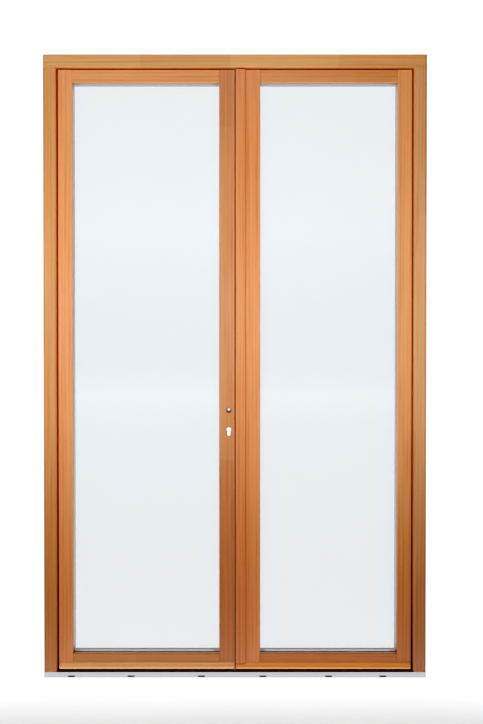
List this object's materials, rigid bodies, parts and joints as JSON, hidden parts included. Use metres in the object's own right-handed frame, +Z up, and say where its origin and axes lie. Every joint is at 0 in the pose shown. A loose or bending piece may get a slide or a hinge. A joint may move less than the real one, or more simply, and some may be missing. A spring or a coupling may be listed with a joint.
{
  "type": "french doors",
  "caption": "Pair of inward-opening glazed timber door leaves in a timber frame with an aluminium threshold, lock, flush bolts and lift-off hinges.",
  "frame": {"origin": "middle of the threshold's underside: mid width, mid depth of the frame", "axes": "+X to the right seen from outdoors, +Y indoors (the leaves open towards +Y), +Z up"},
  "size_m": [1.34, 0.0745, 2.18],
  "materials": {
    "frame_timber": "satin golden-brown stain, fine straight grain",
    "leaf_timber": "satin orange-brown stain, fine straight grain",
    "mill_aluminium": "satin anodised extrusion",
    "spacer_bar": "dull bright aluminium",
    "clear_glass": "clear float glass",
    "gasket_rubber": "matt dark brown",
    "block_plastic": "matt grey",
    "hinge_steel": "zinc-plated, satin",
    "lock_steel": "zinc-plated, brushed"
  },
  "bodies": {
    "frame": {"head": "frame_timber", "left_jamb": "frame_timber", "right_jamb": "frame_timber", "threshold": "mill_aluminium", "frame_gasket": "gasket_rubber", "threshold_seal": "gasket_rubber", "head_keeper": "lock_steel", "left_hinge_low_pin": "hinge_steel", "left_hinge_mid_pin": "hinge_steel", "left_hinge_top_pin": "hinge_steel", "right_hinge_low_pin": "hinge_steel", "right_hinge_mid_pin": "hinge_steel", "right_hinge_top_pin": "hinge_steel"},
    "lock_leaf": {"lock_leaf_hinge_stile": "leaf_timber", "lock_leaf_lock_stile": "leaf_timber", "lock_leaf_top_rail": "leaf_timber", "lock_leaf_bottom_rail": "leaf_timber", "lock_leaf_weather_bar": "leaf_timber", "lock_leaf_outer_pane": "clear_glass", "lock_leaf_inner_pane": "clear_glass", "lock_leaf_spacer": "spacer_bar", "lock_leaf_glazing_tape": "gasket_rubber", "lock_leaf_setting_blocks": "block_plastic", "lock_leaf_bead_top": "leaf_timber", "lock_leaf_bead_bottom": "leaf_timber", "lock_leaf_bead_hinge_side": "leaf_timber", "lock_leaf_bead_lock_side": "leaf_timber", "left_hinge_low_cup": "hinge_steel", "left_hinge_mid_cup": "hinge_steel", "left_hinge_top_cup": "hinge_steel", "lock_faceplate": "lock_steel", "lock_case": "lock_steel"},
    "cover_leaf": {"cover_leaf_hinge_stile": "leaf_timber", "cover_leaf_cover_stile": "leaf_timber", "cover_leaf_top_rail": "leaf_timber", "cover_leaf_bottom_rail": "leaf_timber", "cover_leaf_weather_bar": "leaf_timber", "cover_leaf_outer_pane": "clear_glass", "cover_leaf_inner_pane": "clear_glass", "cover_leaf_spacer": "spacer_bar", "cover_leaf_glazing_tape": "gasket_rubber", "cover_leaf_setting_blocks": "block_plastic", "cover_leaf_bead_top": "leaf_timber", "cover_leaf_bead_bottom": "leaf_timber", "cover_leaf_bead_hinge_side": "leaf_timber", "cover_leaf_bead_cover_side": "leaf_timber", "right_hinge_low_cup": "hinge_steel", "right_hinge_mid_cup": "hinge_steel", "right_hinge_top_cup": "hinge_steel", "cover_strip": "leaf_timber", "meeting_seal": "gasket_rubber", "strike_plate": "lock_steel", "flush_bolt_plates": "lock_steel"},
    "follower": {"lock_follower": "lock_steel"},
    "dead_bolt": {"dead_bolt": "lock_steel"},
    "upper_rod": {"upper_rod": "lock_steel"},
    "lower_rod": {"lower_rod": "lock_steel"},
    "top_flush_bolt": {"top_flush_bolt": "lock_steel"},
    "bottom_flush_bolt": {"bottom_flush_bolt": "lock_steel"}
  },
  "joints": [
    {"name": "lock_leaf_swing", "type": "hinge", "parent": "frame", "child": "lock_leaf", "pos_m": [-0.66, 0.0375, 1.09], "axis": [0, 0, 1], "range_deg": [0, 180]},
    {"name": "cover_leaf_swing", "type": "hinge", "parent": "frame", "child": "cover_leaf", "pos_m": [0.66, 0.0375, 1.09], "axis": [0, 0, -1], "range_deg": [0, 180]},
    {"name": "handle_turn", "type": "hinge", "parent": "lock_leaf", "child": "follower", "pos_m": [-0.02175, 0.013, 0.938], "axis": [0, 1, 0], "range_deg": [0, 90]},
    {"name": "upper_rod_slide", "type": "slide", "parent": "lock_leaf", "child": "upper_rod", "axis": [0, 0, 1], "range_m": [0, 0.014]},
    {"name": "lower_rod_slide", "type": "slide", "parent": "lock_leaf", "child": "lower_rod", "axis": [0, 0, -1], "range_m": [0, 0.014]},
    {"name": "dead_bolt_slide", "type": "slide", "parent": "lock_leaf", "child": "dead_bolt", "axis": [1, 0, 0], "range_m": [0, 0.014]},
    {"name": "top_flush_bolt_slide", "type": "slide", "parent": "cover_leaf", "child": "top_flush_bolt", "axis": [0, 0, 1], "range_m": [0, 0.014]},
    {"name": "bottom_flush_bolt_slide", "type": "slide", "parent": "cover_leaf", "child": "bottom_flush_bolt", "axis": [0, 0, -1], "range_m": [0, 0.014]}
  ],
  "couplings": [
    {"joint": "handle_turn", "follows": "upper_rod_slide", "rad_per_m": 112.2},
    {"joint": "lower_rod_slide", "follows": "upper_rod_slide", "ratio": 1}
  ]
}
